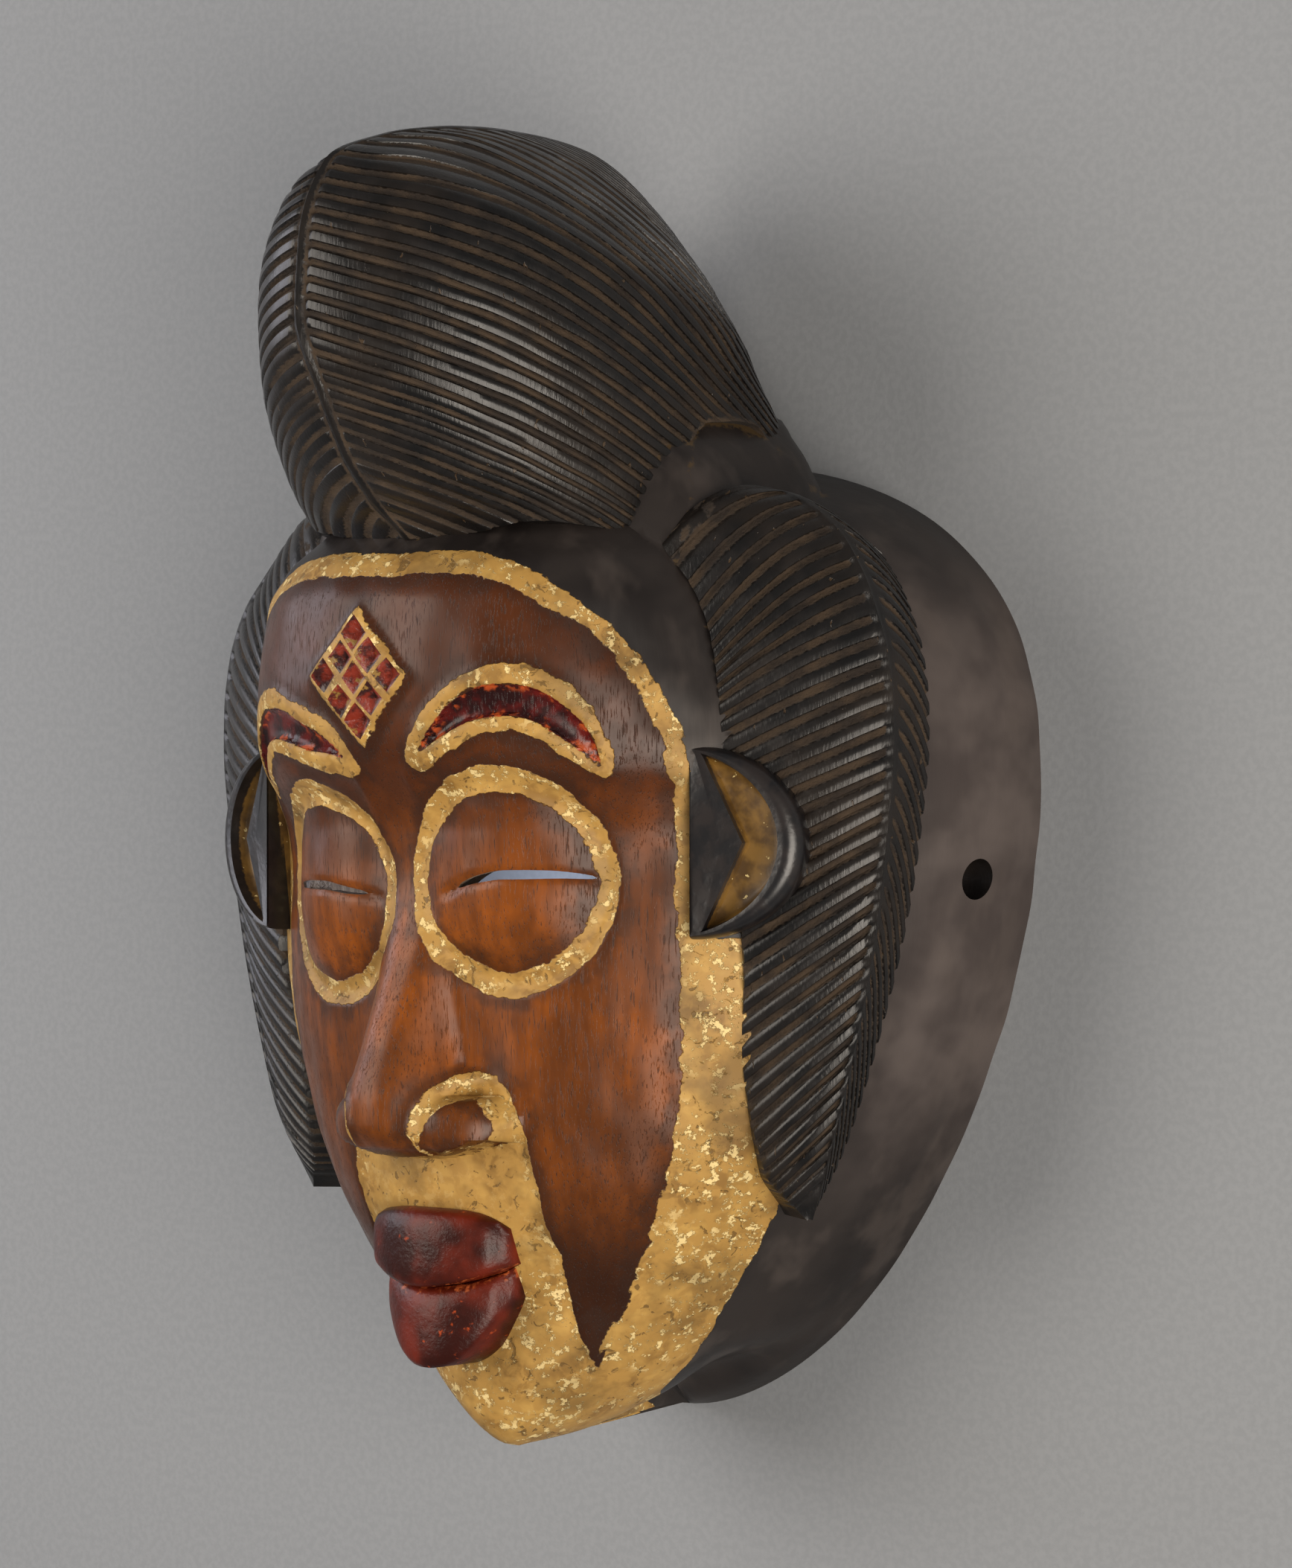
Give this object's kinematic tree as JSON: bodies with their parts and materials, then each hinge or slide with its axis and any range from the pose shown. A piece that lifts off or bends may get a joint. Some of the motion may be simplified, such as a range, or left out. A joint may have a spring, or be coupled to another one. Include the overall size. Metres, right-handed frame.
{
  "type": "okuyi mask",
  "caption": "Carved wooden okuyi mask with a high ridged crest, side locks, ears, narrow eye slits, painted brows and red lips, hollow behind and lying on its back rim.",
  "frame": {"origin": "in the plane of the back rim, under the middle of the mask's box", "axes": "+Y from the chin to the crest, +Z out of the face, +X to the right of somebody looking at the face"},
  "size_m": [0.2308, 0.3396, 0.15],
  "materials": {
    "carved_wood": "satin, painted and worn in places"
  },
  "bodies": {
    "root": {"mask": "carved_wood"}
  },
  "joints": []
}
